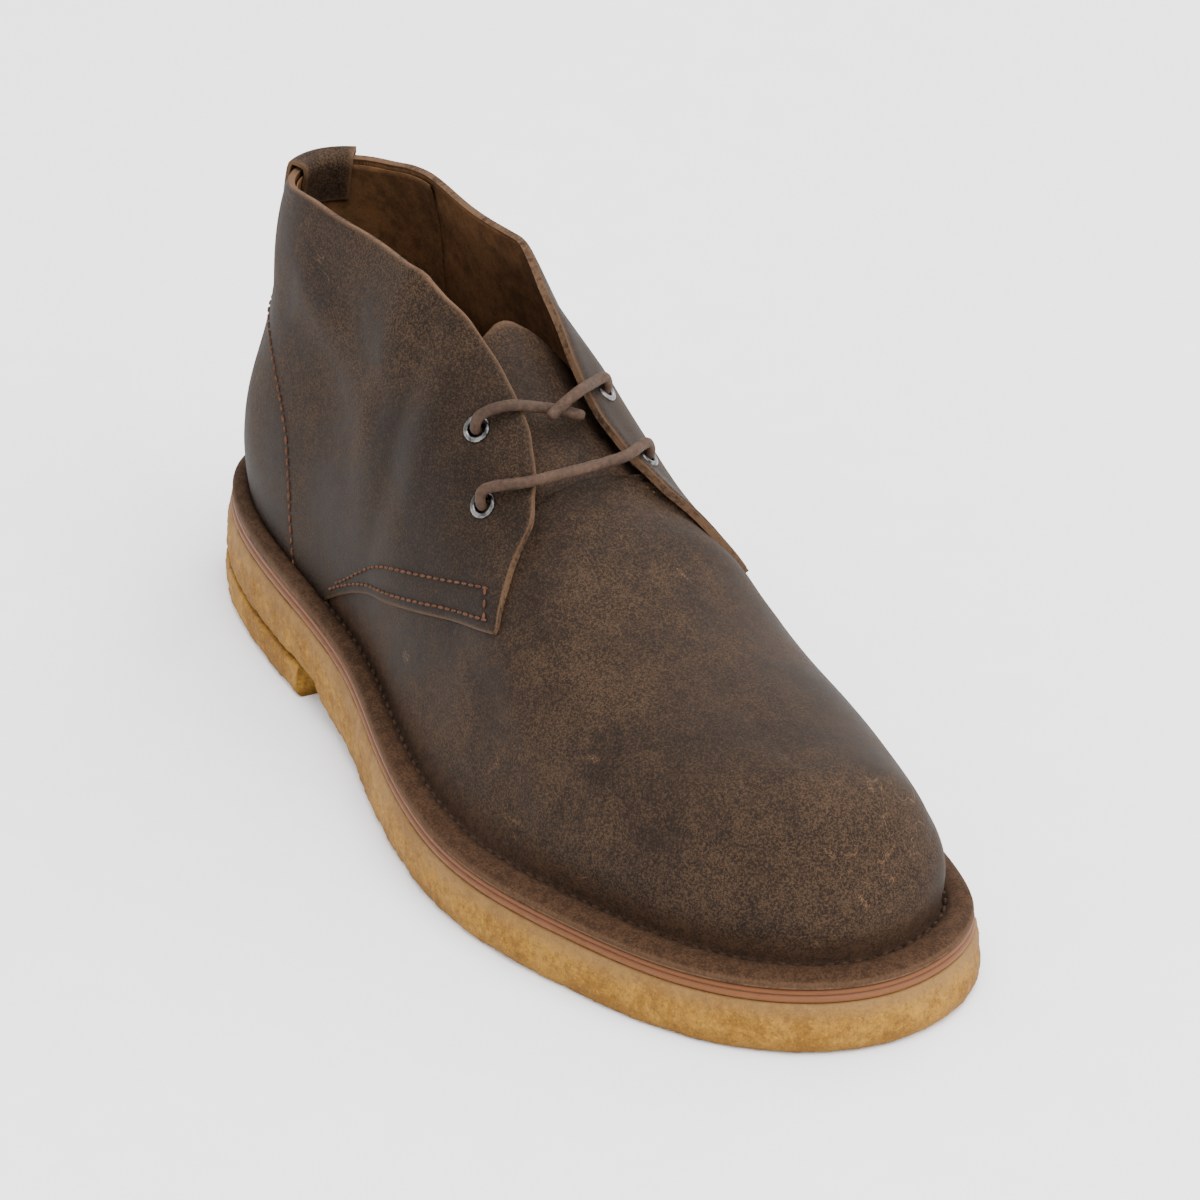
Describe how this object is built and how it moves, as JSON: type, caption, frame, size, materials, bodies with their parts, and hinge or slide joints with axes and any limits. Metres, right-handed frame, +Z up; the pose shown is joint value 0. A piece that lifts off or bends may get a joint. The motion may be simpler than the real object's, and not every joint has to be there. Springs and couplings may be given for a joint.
{
  "type": "desert boot",
  "caption": "Right desert boot in dark worn leather with a stitched-down flange, leather midsole, crepe sole and a round lace through ring eyelets.",
  "frame": {"origin": "Centre of the boot's box in plan, on the floor it stands on.", "axes": "+X towards the toe, +Y towards the wearer's inner side, +Z up."},
  "size_m": [0.307, 0.1125, 0.1233],
  "materials": {
    "oiled_leather": "worn oiled leather, dark grey brown with lighter rubbed marks",
    "veg_leather": "cut leather edge, orange brown",
    "insole_leather": "smooth brown leather",
    "crepe": "honey coloured crepe rubber, finely pitted",
    "gunmetal": "dull dark steel",
    "lace_cord": "waxed round cord, brown"
  },
  "bodies": {
    "root": {"upper": "oiled_leather", "tongue": "oiled_leather", "pull_tab": "oiled_leather", "midsole": "veg_leather", "insole": "insole_leather", "outsole": "crepe", "heel_lift": "crepe", "eyelet_upper_outer": "gunmetal", "eyelet_upper_inner": "gunmetal", "eyelet_lower_outer": "gunmetal", "eyelet_lower_inner": "gunmetal", "lace_bar": "lace_cord", "lace_end_outer": "lace_cord", "lace_end_inner": "lace_cord"}
  },
  "joints": []
}
